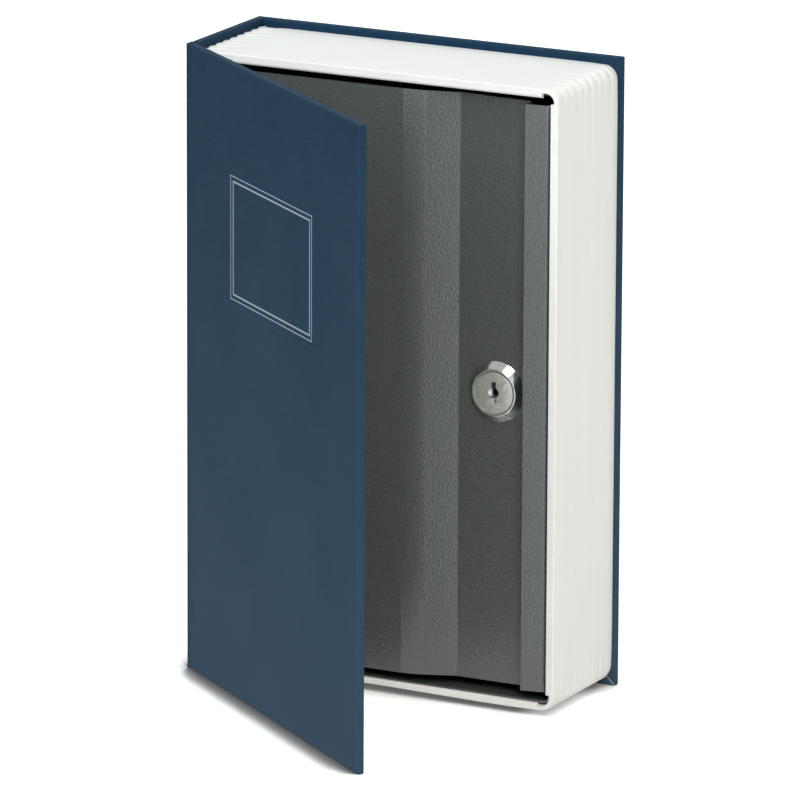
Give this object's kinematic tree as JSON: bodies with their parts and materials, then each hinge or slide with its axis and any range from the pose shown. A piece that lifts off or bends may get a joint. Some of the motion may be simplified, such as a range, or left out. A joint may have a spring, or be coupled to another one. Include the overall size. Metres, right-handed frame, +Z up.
{
  "type": "book diversion safe",
  "caption": "Cloth-bound book case with a false page block around a steel cash box, whose stepped lid swings on a rod hinge beside the spine and locks with a cam lock.",
  "frame": {"origin": "on the surface that the book stands on, in the middle of the back cover's lower edge", "axes": "+Z up along the spine, +X from the spine to the fore-edge, -Y out of the closed front cover"},
  "size_m": [0.153, 0.1499, 0.24],
  "materials": {
    "book_cloth": "dark blue book cloth with a fine grain",
    "board": "grey-brown binder's board",
    "paper": "plain off-white endpaper",
    "page_plastic": "white moulding with page-like ribs",
    "hammered_paint": "dark grey hammered enamel",
    "bright_steel": "zinc-plated steel",
    "chrome": "chrome-plated zinc casting",
    "brass": "plain stamped brass"
  },
  "bodies": {
    "case": {"back_cloth": "book_cloth", "back_board": "board", "back_pastedown": "paper", "spine_cloth": "book_cloth", "spine_board": "board", "spine_lining": "paper", "page_block_frame": "page_plastic", "box_shell": "hammered_paint", "strike_bracket": "hammered_paint", "hinge_rod": "bright_steel"},
    "cover_fold": {"cover_fold": "book_cloth"},
    "front_cover": {"front_cloth": "book_cloth", "front_board": "board", "front_pastedown": "paper"},
    "lid": {"lid_panel": "hammered_paint", "lock_housing": "chrome", "lock_washer": "bright_steel", "lock_nut": "bright_steel"},
    "lock_core": {"lock_plug": "chrome", "wafer_1": "brass", "wafer_2": "brass", "wafer_3": "brass", "wafer_4": "brass", "wafer_5": "brass", "wafer_spring_1": "bright_steel", "wafer_spring_2": "bright_steel", "wafer_spring_3": "bright_steel", "wafer_spring_4": "bright_steel", "wafer_spring_5": "bright_steel", "stop_washer": "bright_steel", "lock_cam": "bright_steel", "cam_screw": "bright_steel"}
  },
  "joints": [
    {"name": "lid_hinge", "type": "hinge", "parent": "case", "child": "lid", "pos_m": [-0.06645, -0.0479, 0.12], "axis": [0, 0, -1], "range_deg": [0, 95]},
    {"name": "cover_lead", "type": "hinge", "parent": "case", "child": "cover_fold", "pos_m": [-0.07625, -0.0545, 0.12], "axis": [0, 0, -1], "range_deg": [0, 95]},
    {"name": "cover_swing", "type": "hinge", "parent": "cover_fold", "child": "front_cover", "pos_m": [-0.07625, -0.0545, 0.12], "axis": [0, 0, -1], "range_deg": [-38, 130]},
    {"name": "lock_turn", "type": "hinge", "parent": "lid", "child": "lock_core", "pos_m": [0.04785, -0.04795, 0.12], "axis": [0, 1, 0], "range_deg": [0, 90]}
  ],
  "couplings": [
    {"joint": "cover_lead", "follows": "lid_hinge", "ratio": 1}
  ]
}
